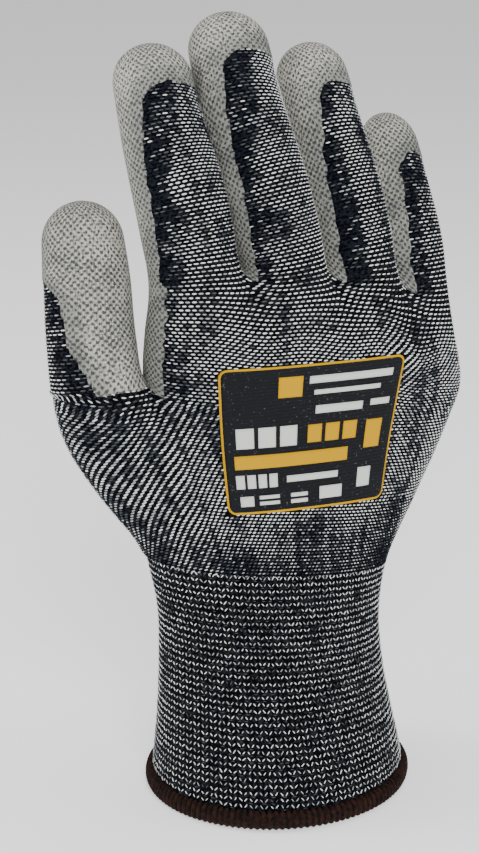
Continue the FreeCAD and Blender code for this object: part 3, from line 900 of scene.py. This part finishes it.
def dash_tree(name, materials):
    values = (("Sides", "Int", 6), ("Uneven", "Float", 0.12), ("Seed", "Int", 4))
    tree = Tree(name, "Dashes", values)
    ball = tree.node("GeometryNodeMeshUVSphere", Segments=tree.start["Sides"], Rings=3, Radius=0.5)
    bar = tree.node("GeometryNodeTransform", Geometry=ball, Rotation=(0, math.pi / 2, 0))
    change = tree.node("FunctionNodeRandomValue", {"data_type": "FLOAT"}, 1, in2=-1.0, in3=1.0,
                       Seed=tree.start["Seed"])
    swell = tree.maths("MULTIPLY_ADD", change, tree.start["Uneven"], 1.0)
    size = tree.node("ShaderNodeVectorMath", {"operation": "SCALE"}, in0=tree.named("size"),
                     in3=swell)
    spread = tree.node("GeometryNodeInstanceOnPoints", Points=tree.start["Points"], Instance=bar,
                       Rotation=tree.facing_way(), Scale=size)
    last = tree.realized(spread)
    for shade, material in enumerate(materials):
        pick = tree.node("FunctionNodeCompare", {"data_type": "INT", "operation": "EQUAL"},
                         in2=tree.named("shade", "INT"), in3=shade)
        last = tree.node("GeometryNodeSetMaterial", in0=last, Selection=pick, Material=material)
    return tree.end(last)


def scatter(name, tree, at, heading, facing, size, shade, settings=None):
    """One plain mesh of what the tree puts on these points."""
    mesh = bpy.data.meshes.new(name + "_points")
    mesh.from_pydata(np.asarray(at).tolist(), [], [])
    for key, data in (("heading", heading), ("facing", facing), ("size", size)):
        mesh.attributes.new(key, "FLOAT_VECTOR", "POINT").data.foreach_set(
            "vector", np.asarray(data, np.float32).ravel())
    layer = mesh.attributes.new("shade", "INT", "POINT")
    layer.data.foreach_set("value", np.asarray(shade, np.int32))
    holder = add_object(name + "_holder", mesh)
    modifier = holder.modifiers.new("dashes", "NODES")
    modifier.node_group = tree
    for item in tree.interface.items_tree:
        if item.in_out == "INPUT" and item.name in (settings or {}):
            modifier[item.identifier] = settings[item.name]
    result = evaluated_mesh(holder)
    for key in ("heading", "facing", "size", "shade"):
        if key in result.attributes:
            result.attributes.remove(result.attributes[key])
    bpy.data.objects.remove(holder)
    result.name = name
    return add_object(name, result)


dashes = dash_tree("yarn_dashes", [f.material for f in YARN])
print("dash tree:", len(dashes.nodes), "nodes")

# %% [markdown]
# On the back of the glove each loop shows as a plump dash lying along its course, and the dashes
# of one course sit between those of the next, like bricks. Their places are the midpoints of
# the skin's upright edges, so they follow the wales wherever these fan out.

# %% Dash places
LABEL_CORNERS = dict(top=(-27.5, 43.8, 159.6, 158.0), bottom=(-26.2, 33.6, 109.4, 107.0))


def label_share(x, z):
    """Where a point lies on the label: 0 to 1 across and 0 to 1 up."""
    top, bottom = LABEL_CORNERS["top"], LABEL_CORNERS["bottom"]
    up = (z - bottom[2]) / (top[2] - bottom[2])
    left, right = bottom[0] + (top[0] - bottom[0]) * up, bottom[1] + (top[1] - bottom[1]) * up
    across = (x - left) / (right - left)
    low = bottom[2] + (bottom[3] - bottom[2]) * across
    high = top[2] + (top[3] - top[2]) * across
    return across, (z - low) / (high - low)


upright = {}
for f in range(len(skin.faces)):
    face, uv = skin.faces[f], skin.maps[f]
    width = (np.linalg.norm(skin.points[face[1]] - skin.points[face[0]])
             + np.linalg.norm(skin.points[face[2]] - skin.points[face[3]])) / 2
    for a in range(4):
        b = (a + 1) % 4
        if abs(uv[a, 0] - uv[b, 0]) < 0.1 and abs(uv[a, 1] - uv[b, 1]) > 0.2:
            u, v = (uv[a] + uv[b]) / 2
            if (round(2 * u) + math.floor(2 * v)) % 2 == 0:
                key = (min(face[a], face[b]), max(face[a], face[b]))
                upright.setdefault(key, []).append((f, width, u, v))
ends = np.array(list(upright))
info = list(upright.values())
owner_face = np.array([rows[0][0] for rows in info])
pitch = np.array([sum(r[1] for r in rows) / len(rows) for rows in info]) * 2
wale_no = np.array([rows[0][2] for rows in info])
course_no = np.array([rows[0][3] for rows in info])
mid = skin.points[ends].mean(axis=1)
facing = unit(skin.normals[ends].mean(axis=1))
rise = skin.points[ends[:, 1]] - skin.points[ends[:, 0]]
course_gap = np.linalg.norm(rise, axis=1)
heading = unit(np.cross(unit(rise), facing))
film_depth = depth[ends].mean(axis=1)
along = skin.along[ends].mean(axis=1)
turn = skin.turn[ends].mean(axis=1)
zone = zone_of_face[owner_face]
in_hand = zone == "hand"
across, up_label = label_share(mid[:, 0] / MM, mid[:, 2] / MM)
on_label = (across > 0) & (across < 1) & (up_label > 0) & (up_label < 1)
under_label = in_hand & (mid[:, 1] < 4 * MM) & on_label
show = (film_depth < 0.1) & ~under_label & (pitch > 0.6 * MM)
print("dashes shown:", int(show.sum()), "of", len(show))

# %% [markdown]
# Shade is what makes the knit look knitted: whole wales sink and go dark, the dashes near the film
# go dark, more on the thumb side of each finger, and the courses just above the cuff are pulled
# tight, with thin dim dashes. One worn spot on the index finger is bright.

# %% Dash shades
LONGEST, THICKEST = 2.1, 1.3
BRIGHT, PALE, DIM = 0.64, 0.40, 0.12
WORN = dict(finger="index", along=31.0, turn=18.0)
rng = np.random.default_rng(11)
wale_tone = np.array([noise.noise(Vector((w * 0.9, OWNERS.index(str(z).split("_")[0]) * 7.1, 0.3)))
                      for w, z in zip(wale_no, zone)])
patch_tone = np.array([noise.noise(Vector(p * 90)) for p in mid])
speck = rng.random(len(mid))
height_mm = mid[:, 2] / MM
in_finger = ~in_hand
light = 0.74 + 0.50 * wale_tone + 0.40 * patch_tone + 0.45 * (speck - 0.5)
tight = in_hand * (1 - ramp(height_mm, 84, 112))
light -= 0.42 * tight
# Dashes go darker near the film's edge, and more so on the thumb side of each finger.
radial_side = np.where(turn >= 0, 1.0, 0.35)
reach = -film_depth + 5.0 * patch_tone
dark_near_film = np.where(in_finger, (1 - ramp(reach, 3.0, 15.0)) * radial_side,
                 0.55 * (1 - ramp(reach, 0.0, 11.0)))
light -= dark_near_film * (0.56 + 0.7 * (rng.random(len(mid)) - 0.5))
light -= 0.22 * (in_hand & (mid[:, 0] < -0.045))
worn = np.exp(-((along - WORN["along"]) / 3.5) ** 2 - ((turn - WORN["turn"]) / 13.0) ** 2)
worn *= np.array([str(z).startswith(WORN["finger"]) for z in zone])
light += 1.3 * worn
shade = np.select([light > BRIGHT, light > PALE, light > DIM], [0, 1, 2], 3)
length = np.minimum(pitch * np.where(in_finger, 0.84, 0.78), LONGEST * MM) * (1 - 0.10 * tight)
thick = np.minimum(course_gap, THICKEST * MM) * np.where(in_finger, 0.45, 0.54)
thick = thick * (1 - 0.30 * tight) * (1 + 0.5 * worn)
size = np.stack([length, thick, thick * 0.75], axis=1)
dash_pieces = {}
for name in ZONES:
    mine = show & (zone == name)
    if not mine.any():
        continue
    at = mid[mine] + facing[mine] * 0.10 * MM
    piece = scatter(f"stitch_{name}", dashes, at, heading[mine], facing[mine], size[mine],
                    shade[mine])
    dash_pieces[name] = piece
    attach(piece, name)
print("stitch pieces:", {z: len(p.data.polygons) for z, p in dash_pieces.items()})

# %% [markdown]
# The cuff is knitted with the other face out, so its yarn shows as rows of small V shapes. It is
# a tube of its own with a smooth inner wall, from the hem to a course above the wrist.

# %% Cuff tube
CUFF_WALES, CUFF_COURSES, CUFF_FROM = 76, 36, 5.0


def cuff_ring(height, grow=0.0):
    loop = oval(height, np.linspace(-180, 180, 721))
    flat = spaced(loop, np.arange(CUFF_WALES * 2) / (CUFF_WALES * 2))
    centre = section(height)[:2]
    flat = flat + unit(flat - centre) * grow
    return with_height(flat, height)


cuff_heights = np.linspace(CUFF_FROM, WRIST + 1.2, CUFF_COURSES + 1)
outer = [cuff_ring(h, 0.15) for h in cuff_heights]
inner_rings = [cuff_ring(h, -1.05) for h in cuff_heights]
count = CUFF_WALES * 2
loops = outer + inner_rings[::-1]
cuff_points = np.vstack(loops) * MM
faces, maps = [], []
for r in range(len(loops)):
    s = (r + 1) % len(loops)
    for j in range(count):
        k = (j + 1) % count
        faces.append((r * count + j, r * count + k, s * count + k, s * count + j))
        u, v = j / 2, r
        maps.append(((u, v), (u + 0.5, v), (u + 0.5, v + 1), (u, v + 1)))
cuff = plain_mesh("cuff_knit", cuff_points, [np.array(faces)], ground.material, None, maps)
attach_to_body(cuff, "hand")
print("cuff faces:", len(faces))

# %% [markdown]
# Each V is two short dashes that meet at the bottom. A few loops are crossed or turned, and small
# dim dashes lie between the rows where the yarn behind shows through.

# %% Cuff stitches
at, heading, facing, size, shade = [], [], [], [], []
rng = np.random.default_rng(23)
for c in range(1, CUFF_COURSES):
    for w in range(CUFF_WALES):
        a, b = outer[c][2 * w] * MM, outer[c][(2 * w + 2) % count] * MM
        d, e = outer[c + 1][2 * w] * MM, outer[c + 1][(2 * w + 2) % count] * MM
        centre, across_v, up_v = (a + b + d + e) / 4, (b + e - a - d) / 2, (d + e - a - b) / 2
        normal = unit(np.cross(across_v, up_v))
        flip = rng.random() < 0.08
        bright = rng.random() + 0.35 * noise.noise(Vector(centre * 120))
        for sign in (-1, 1):
            lean = sign * (0.62 if not flip else -0.5) + rng.normal(0, 0.10)
            way = unit(across_v) * lean + unit(up_v) * 0.78
            at.append(centre + across_v * 0.24 * sign + up_v * rng.normal(0, 0.04)
                      + normal * 0.12 * MM)
            heading.append(unit(way))
            facing.append(normal)
            long_v = np.linalg.norm(across_v) * 0.46 * rng.uniform(0.8, 1.15)
            size.append((long_v, 0.44 * MM, 0.40 * MM))
            shade.append(0 if bright > 0.42 else 1 if bright > -0.05 else 2)
        if rng.random() < 0.4:
            at.append(centre - up_v * 0.48 + across_v * rng.normal(0, 0.1) + normal * 0.02 * MM)
            heading.append(unit(across_v))
            facing.append(normal)
            size.append((np.linalg.norm(across_v) * 0.45, 0.36 * MM, 0.3 * MM))
            shade.append(2)
cuff_stitches = scatter("cuff_stitches", dashes, at, heading, facing, size, shade, {"Sides": 5})
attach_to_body(cuff_stitches, "hand")
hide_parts("cuff_rib")
print("cuff stitches:", len(at))

# %% [markdown]
# The mouth of the cuff is overlocked with dark brown thread: a soft roll wrapped by close loops.
# Geometry Nodes carry one loop round the mouth, a little unevenly tilted, and clear of the floor.

# %% Hem
hem_finish = Finish("hem_brown", (0.020, 0.007, 0.004), 0.85, 0.2)
fuzz = hem_finish.cloud(700.0, 3.0)
tone = hem_finish.mix(hem_finish.spot(fuzz, 0.65, 0.35), (0.0035, 0.0014, 0.001),
                      (0.026, 0.0078, 0.0042))
hem_finish.feed(Base_Color=tone, Normal=hem_finish.bump(fuzz, 0.5, 0.0003))
HEM_LOOPS, HEM_TALL, HEM_DEEP, HEM_CLEAR = 132, 6.4, 4.2, 0.35
ROLL_SIDES = 14
UPWARD = np.array([0, 0, 1.0])


def hem_line(grow, count):
    """Points around the mouth, with the way along it and the way out."""
    turns = np.radians(np.linspace(0, 360, count, endpoint=False))
    a, b = 46.5 + grow, 42.5 + grow
    flat = np.stack([a * np.cos(turns), b * np.sin(turns), 0 * turns], axis=1)
    way = unit(np.stack([-a * np.sin(turns), b * np.cos(turns), 0 * turns], axis=1))
    return flat, way, np.cross(way, UPWARD)


flat, _, out = hem_line(0.1, HEM_LOOPS * 2)
rings = []
for t in np.radians(np.linspace(0, 360, ROLL_SIDES, endpoint=False)):
    above = HEM_TALL / 2 + 0.1 + math.sin(t) * (HEM_TALL / 2 - 0.3)
    rings.append(flat + out * math.cos(t) * (HEM_DEEP / 2 - 0.35) + UPWARD * above)
core_points = np.vstack(rings) * MM
n = HEM_LOOPS * 2
faces = []
for side_no in range(ROLL_SIDES):
    low, high = side_no * n, (side_no + 1) % ROLL_SIDES * n
    faces += [(low + j, low + (j + 1) % n, high + (j + 1) % n, high + j) for j in range(n)]
hem_core = plain_mesh("hem_roll", core_points, [np.array(faces)], hem_finish.material)


def loop_tree(name, material):
    """One flat loop of thread on every point, standing across the roll."""
    values = (("Thread", 0.85), ("Deep", HEM_DEEP), ("Tall", HEM_TALL))
    tree = Tree(name, "Loops", [(label, "Float", value) for label, value in values])
    ring = tree.node("GeometryNodeCurvePrimitiveCircle", Resolution=14, Radius=1.0)
    thread = tree.maths("MULTIPLY", tree.start["Thread"], MM)
    profile = tree.node("GeometryNodeCurvePrimitiveCircle", Resolution=6, Radius=thread)
    half_deep, half_tall = (tree.maths("MULTIPLY_ADD", tree.start[label], 0.5 * MM, -0.4 * MM)
                            for label in ("Deep", "Tall"))
    squeeze = tree.node("ShaderNodeCombineXYZ", in0=half_deep, in1=half_tall, in2=1.0)
    stretch = tree.node("GeometryNodeTransform", in0=ring, Scale=squeeze)
    sweep = tree.node("GeometryNodeCurveToMesh", Curve=stretch, Profile_Curve=profile)
    stand = tree.node("GeometryNodeTransform", in0=sweep, Rotation=(math.pi / 2, 0, 0))
    spread = tree.node("GeometryNodeInstanceOnPoints", Points=tree.start["Points"], Instance=stand,
                       Rotation=tree.facing_way())
    last = tree.node("GeometryNodeSetMaterial", in0=tree.realized(spread), Material=material)
    return tree.end(last)


flat, way, out = hem_line(0.1, HEM_LOOPS)
rng = np.random.default_rng(5)
tilt = unit(out + way * rng.normal(0.16, 0.05, (len(way), 1)))
middle = (flat + UPWARD * (HEM_TALL / 2 + HEM_CLEAR)) * MM
hem_loops = scatter("hem_loops", loop_tree("hem_wrap", hem_finish.material), middle, tilt,
                    np.tile(UPWARD, (len(flat), 1)), np.ones((len(flat), 3)), np.zeros(len(flat)))
for piece in (hem_core, hem_loops):
    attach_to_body(piece, "hand")
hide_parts("cuff_hem")
print("hem loops:", HEM_LOOPS)

# %% [markdown]
# The label is a thin transfer print: a dark film with rounded corners, a yellow edge line and rows
# of plain blocks and bars in two inks, where a maker's real label has its marks. Each mark is a
# small grid dropped onto the knit from the back, so the print follows every curve of the hand.

# %% Label
tree_faces = skin.faces[zone_of_face == "hand"]
back_of_hand = BVHTree.FromPolygons(skin.points.tolist(), tree_faces.tolist())


def on_back(across, up, lift_mm):
    """Point on the back of the hand at a share across and up the label."""
    ends = (LABEL_CORNERS["bottom"], LABEL_CORNERS["top"])
    low, high = (np.array([left + (right - left) * across, z_left + (z_right - z_left) * across])
                 for left, right, z_left, z_right in ends)
    x, z = low + (high - low) * up
    hit, normal, _, _ = back_of_hand.ray_cast(Vector((x, -60, z)) * MM, Vector((0, 1, 0)))
    return hit + normal * lift_mm * MM


def slab(name, rows, material, thick):
    """Thin closed sheet through rows of points."""
    high, wide = len(rows), len(rows[0])
    cells = [(r * wide + c, r * wide + c + 1, (r + 1) * wide + c + 1, (r + 1) * wide + c)
             for r in range(high - 1) for c in range(wide - 1)]
    made = plain_mesh(name, np.array([p for row in rows for p in row]), [np.array(cells)], material)
    modifier = made.modifiers.new("thick", "SOLIDIFY")
    modifier.thickness, modifier.offset = thick * MM, -1.0
    made.data = evaluated_mesh(made)
    made.modifiers.clear()
    return made


LABEL_WIDE, LABEL_HIGH, LABEL_ROUND, LABEL_LINE = 66.0, 50.0, 3.0, 0.75


def rounded(inset, radius, up_mm):
    """How far the label's side is drawn in at this height."""
    edge = min(up_mm, LABEL_HIGH - up_mm) - inset
    if edge >= radius:
        return inset
    return inset + radius - math.sqrt(max(radius**2 - (radius - edge) ** 2, 0))


def label_sheet(name, inset, radius, material, lift_mm, thick):
    steps = [0, 0.15, 0.5, 1.1, 2.0, 3.2] + list(np.linspace(5, LABEL_HIGH - 5, 34))
    steps += [LABEL_HIGH - s for s in (3.2, 2.0, 1.1, 0.5, 0.15, 0)]
    rows = []
    for step in steps:
        up_mm = inset + step * (LABEL_HIGH - 2 * inset) / LABEL_HIGH
        side_in = rounded(inset, radius, up_mm) / LABEL_WIDE
        columns = np.linspace(side_in, 1 - side_in, 48)
        rows.append([on_back(across, up_mm / LABEL_HIGH, lift_mm) for across in columns])
    return slab(name, rows, material, thick)


print("label cast from the back; one corner at", [round(v / MM, 1) for v in on_back(0.0, 1.0, 0.0)])

# %% Label finishes and sheets
RIB_PITCH = 1.2
print_dark = Finish("print_dark", (0.006, 0.008, 0.014), 0.6, 0.2)
weave = print_dark.cloud(1300.0, 2.0)
tone = print_dark.mix(print_dark.cloud(120.0), (0.0012, 0.0014, 0.0022), (0.003, 0.004, 0.008))
tone = print_dark.mix(1 - print_dark.spot(weave, 0.65, 0.74), tone, (0.085, 0.09, 0.11))
climb = print_dark.node("ShaderNodeSeparateXYZ", None, {0: print_dark.place()}, 2)
ribs = climb.calc("SINE", climb * (2 * math.pi / (RIB_PITCH * MM)))
print_dark.feed(Base_Color=tone, Normal=print_dark.bump(weave + ribs * 0.3, 0.6, 0.0003))
INKS = {"white": Finish("print_white", (0.66, 0.66, 0.64), 0.55, 0.3),
        "yellow": Finish("print_yellow", (0.60, 0.33, 0.0), 0.6, 0.1)}
edge = label_sheet("label_edge", 0.0, LABEL_ROUND, INKS["yellow"].material, 0.42, 0.4)
ground_sheet = label_sheet("label_ground", LABEL_LINE, LABEL_ROUND - LABEL_LINE,
                           print_dark.material, 0.56, 0.3)
# Each mark: its left side, its lower side, its width and its height, in mm on the label.
MARKS = {
    "white": [(31, 43.2, 31, 2.6), (33, 39.2, 25, 1.6), (34, 32.5, 18, 2.8), (55, 33.4, 7.5, 2.2),
              (5, 22.2, 6.4, 7.0), (13, 22.2, 6.4, 7.0), (21, 22.2, 6.4, 7.0), (4, 8.6, 3.2, 4.6),
              (8.2, 8.6, 3.2, 4.6), (12.4, 8.6, 3.2, 4.6), (16.6, 8.6, 3.2, 4.6),
              (23.5, 9.8, 21, 2.2),
              (5, 2.6, 5.2, 3.4), (12.4, 2.8, 8, 1.2), (12.4, 4.8, 8, 1.2), (25, 2.6, 7, 1.3),
              (25, 4.7, 7, 1.3), (37, 3.0, 9.5, 4.2), (53, 5.4, 5.6, 6.6)],
    "yellow": [(20, 39.0, 8.6, 7.2), (31.5, 22.6, 5.4, 6.2), (38.4, 22.6, 5.4, 6.2),
               (45.3, 22.6, 5.4, 6.2), (4, 15.2, 44, 4.6), (54.5, 18.6, 6.4, 9.8)],
}
ink_pieces = {}
for ink, marks in MARKS.items():
    parts = []
    for side_mm, up_mm, wide, high in marks:
        columns = np.linspace(side_mm, side_mm + wide, max(3, int(wide) + 1)) / LABEL_WIDE
        levels = np.linspace(up_mm, up_mm + high, max(3, int(high) + 1)) / LABEL_HIGH
        rows = [[on_back(a, u, 0.70) for a in columns] for u in levels]
        parts.append(slab(f"mark_{ink}", rows, INKS[ink].material, 0.25))
    with bpy.context.temp_override(active_object=parts[0], selected_editable_objects=parts):
        bpy.ops.object.join()
    parts[0].name = parts[0].data.name = f"label_marks_{ink}"
    ink_pieces[ink] = parts[0]
for piece, slot_name, node in ((edge, "print_yellow", "label_edge_line"),
                               (ground_sheet, "print_film", "label_film_dark"),
                               (ink_pieces["white"], "print_white", "label_ink_white"),
                               (ink_pieces["yellow"], "print_yellow", "label_ink_yellow")):
    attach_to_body(piece, "hand")
    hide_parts(node)
print("label marks:", {ink: len(marks) for ink, marks in MARKS.items()})

# %% [markdown]
# Each knit piece stands for the plain CAD liner and fold ring of its joint, and each film piece
# for the CAD film there. The elastic threads inside the cuff keep their CAD shape and get a
# rubber finish.

# %% Standing in for the CAD skins
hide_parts("hand_shell")
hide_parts("palm_coating")
for name in blends:
    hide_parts(f"{name}_liner", f"{name}_fold")
    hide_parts(f"{name}_coating")
elastic = Finish("elastic_black", (0.02, 0.02, 0.023), 0.7)
rub = elastic.cloud(900.0)
elastic.feed(Base_Color=elastic.mix(rub, (0.012, 0.012, 0.015), (0.035, 0.035, 0.04)),
             Normal=elastic.bump(rub, 0.4, 0.0002))
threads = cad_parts["cuff_elastic"]
threads.data.materials.clear()
threads.data.materials.append(elastic.material)
print("elastic slots:", len(threads.data.materials))

# %% [markdown]
# The glove stands on its hem on a pale floor, under large soft lights, and is seen from a little
# above and from the thumb side.

# %% Floor, lights and camera
FLOOR_HALF = 9
floor_mesh = bpy.data.meshes.new("floor")
corners = [(x * FLOOR_HALF, y * FLOOR_HALF, 0) for x, y in ((-1, -1), (1, -1), (1, 1), (-1, 1))]
floor_mesh.from_pydata(corners, [], [(0, 1, 2, 3)])
floor = add_object("floor", floor_mesh)
floor_finish = Finish("pale_floor", (0.93, 0.93, 0.93), 0.95, 0.1)
floor_finish.shader.inputs["Emission Color"].default_value = (1, 1, 1, 1)
floor_finish.shader.inputs["Emission Strength"].default_value = 0.55
floor_mesh.materials.append(floor_finish.material)

world = bpy.data.worlds.new("studio")
world.use_nodes = True
world.node_tree.nodes["Background"].inputs["Color"].default_value = (1, 1, 1, 1)
world.node_tree.nodes["Background"].inputs["Strength"].default_value = 0.26
bpy.context.scene.world = world


LIGHT_AIM = Vector((0, 0, 0.13))


def soft_light(name, at, size, power):
    lamp = bpy.data.lights.new(name, "AREA")
    lamp.shape, lamp.size, lamp.energy = "DISK", size, power
    made = add_object(name, lamp)
    made.location = at
    made.rotation_euler = (LIGHT_AIM - Vector(at)).to_track_quat("-Z", "Y").to_euler()


soft_light("key", (-0.35, -1.1, 1.0), 0.6, 15)
soft_light("fill", (1.1, -0.7, 0.5), 0.9, 4)
soft_light("rim", (-0.9, 0.5, 0.7), 0.6, 6)
soft_light("top", (0.1, 0.2, 1.4), 0.9, 8)

CAMERA_AIM, CAMERA_AWAY = Vector((-0.0153, 0.0, 0.1358)), 0.7
camera_data = bpy.data.cameras.new("camera")
camera_data.sensor_fit, camera_data.sensor_height, camera_data.lens = "VERTICAL", 36, 85.2
camera = add_object("camera", camera_data)
camera.location = CAMERA_AIM + CAMERA_AWAY * Vector((-0.404, -0.8667, 0.2924))
camera.rotation_euler = (CAMERA_AIM - camera.location).to_track_quat("-Z", "Y").to_euler()
bpy.context.scene.camera = camera
